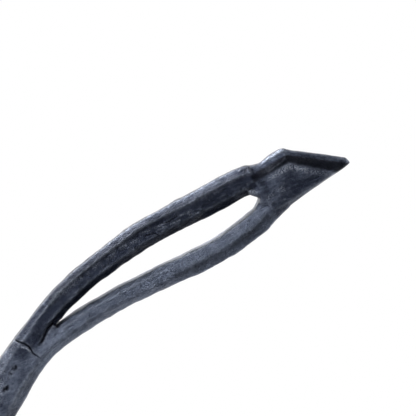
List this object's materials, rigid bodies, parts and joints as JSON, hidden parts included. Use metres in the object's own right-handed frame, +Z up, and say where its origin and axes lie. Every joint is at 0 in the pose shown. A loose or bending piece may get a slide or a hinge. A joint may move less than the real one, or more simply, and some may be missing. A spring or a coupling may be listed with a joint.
{
  "type": "meat hook",
  "caption": "Hand-forged swivel hook for hanging meat: J-shaped square bar with a split, welded leg and a bevelled point, turning in a clevis on a ring.",
  "frame": {"origin": "inside top of the hanging ring, where it bears on its rail", "axes": "+Z up, the hook in the XZ plane with its leg and point on the -X side, the ring in the YZ plane"},
  "size_m": [0.1231, 0.073, 0.3407],
  "materials": {
    "forged_iron": "hammered, fire-scaled and blackened",
    "wrought_iron": "rolled bar, blackened",
    "worn_iron": "blackened, rubbed brighter by use"
  },
  "bodies": {
    "ring": {"hanging_ring": "wrought_iron"},
    "clevis": {"clevis_strap": "wrought_iron", "cross_pin": "worn_iron", "pin_rove_right": "wrought_iron", "pin_rove_left": "wrought_iron"},
    "hook": {"hook_bar": "forged_iron", "outer_strand": "forged_iron", "inner_strand": "forged_iron", "hook_point": "forged_iron", "tenon_washer": "worn_iron"}
  },
  "joints": [
    {"name": "clevis_swing", "type": "hinge", "parent": "ring", "child": "clevis", "pos_m": [0, 0, -0.0507], "axis": [1, 0, 0], "range_deg": [-70, 70]},
    {"name": "hook_swivel", "type": "hinge", "parent": "clevis", "child": "hook", "pos_m": [0, 0, -0.0846], "axis": [0, 0, 1], "continuous": true}
  ]
}
